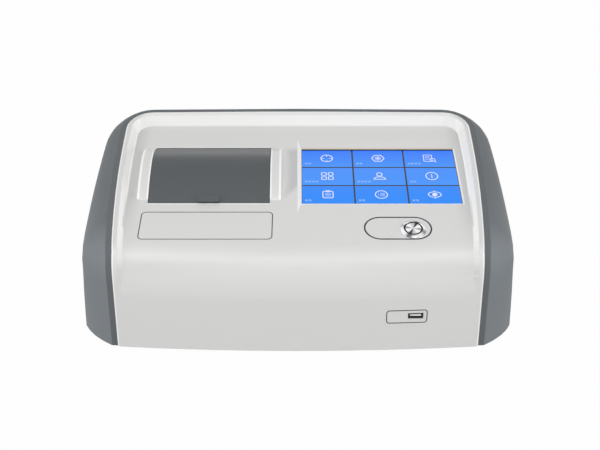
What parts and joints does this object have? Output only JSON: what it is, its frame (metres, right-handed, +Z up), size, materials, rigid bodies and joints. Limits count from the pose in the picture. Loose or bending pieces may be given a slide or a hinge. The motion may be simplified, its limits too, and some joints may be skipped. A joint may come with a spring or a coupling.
{
  "type": "benchtop colorimeter",
  "caption": "Wedge-shaped bench colorimeter with a sloping panel, touch display, lidded sample compartment, steel push button and an optical bench inside.",
  "frame": {"origin": "on the table under the middle of the body's width and depth", "axes": "+X to the user's right, +Y from the front to the back, +Z up from the feet"},
  "size_m": [0.413, 0.2518, 0.1599],
  "materials": {
    "cover_white": "fine satin",
    "shell_grey": "satin",
    "lid_charcoal": "satin",
    "black_plastic": "matt",
    "black_rubber": "matt",
    "screw_steel": "bright",
    "button_steel": "turned",
    "zinc_plate": "zinc plated",
    "bare_aluminium": "machined",
    "anodised": "black anodised",
    "circuit_board": "solder resist",
    "dark_glass": "polished",
    "clear_glass": "polished",
    "display_blue": "lit display",
    "mirror_glass": "silvered",
    "sphere_white": "diffuse white",
    "ceramic": "fired ceramic",
    "cable_sleeve": "soft sleeve"
  },
  "bodies": {
    "base": {"top_cover": "cover_white", "side_rear_shell": "shell_grey", "base_plate": "zinc_plate", "foot_1": "black_rubber", "foot_2": "black_rubber", "foot_3": "black_rubber", "foot_4": "black_rubber", "foot_screw_1": "screw_steel", "foot_screw_2": "screw_steel", "foot_screw_3": "screw_steel", "foot_screw_4": "screw_steel", "lid_hinge_pin": "screw_steel", "lid_seal": "black_rubber", "sample_tub": "black_plastic", "window_left": "clear_glass", "window_right": "clear_glass", "cuvette_holder": "anodised", "cuvette_clip": "screw_steel", "lamp_housing": "bare_aluminium", "lamp_socket": "ceramic", "lamp_bulb": "clear_glass", "lamp_lens": "clear_glass", "lamp_cable": "cable_sleeve", "optical_bench": "bare_aluminium", "sphere_left": "sphere_white", "sphere_right": "sphere_white", "spectrometer_tray": "anodised", "spectrometer_lid": "anodised", "entrance_slit": "screw_steel", "collimating_mirror": "mirror_glass", "grating": "mirror_glass", "focusing_mirror": "mirror_glass", "detector_array": "black_plastic", "main_board": "circuit_board", "processor_heatsink": "anodised", "usb_port_shell": "screw_steel", "usb_port_tongue": "ceramic", "touch_glass": "dark_glass", "display_panel": "display_blue", "display_bracket": "zinc_plate", "display_board": "circuit_board", "display_screw_1": "screw_steel", "display_screw_2": "screw_steel", "display_screw_3": "screw_steel", "display_screw_4": "screw_steel", "display_ribbon": "cable_sleeve", "button_bezel": "button_steel", "button_nut": "zinc_plate", "button_spring": "screw_steel", "button_switch": "black_plastic", "rear_io_plate": "zinc_plate", "rocker_frame": "black_plastic", "power_jack": "black_plastic", "square_port": "screw_steel", "io_board": "circuit_board"},
    "lid": {"sample_lid": "lid_charcoal"},
    "button": {"button_cap": "button_steel"},
    "rocker": {"power_rocker": "black_plastic"}
  },
  "joints": [
    {"name": "lid_hinge", "type": "hinge", "parent": "base", "child": "lid", "pos_m": [-0.0851, 0.03782, 0.13448], "axis": [-1, 0, 0], "range_deg": [0, 75]},
    {"name": "test_button", "type": "slide", "parent": "base", "child": "button", "axis": [0, 0.245, -0.9695], "range_m": [0, 0.0014], "stiffness_N_per_m": 500, "springref_m": -0.002, "deforming": ["button_spring"]},
    {"name": "power_switch", "type": "hinge", "parent": "base", "child": "rocker", "pos_m": [0.128, 0.11926, 0.03626], "axis": [-1, 0, 0], "range_deg": [0, 18]}
  ]
}
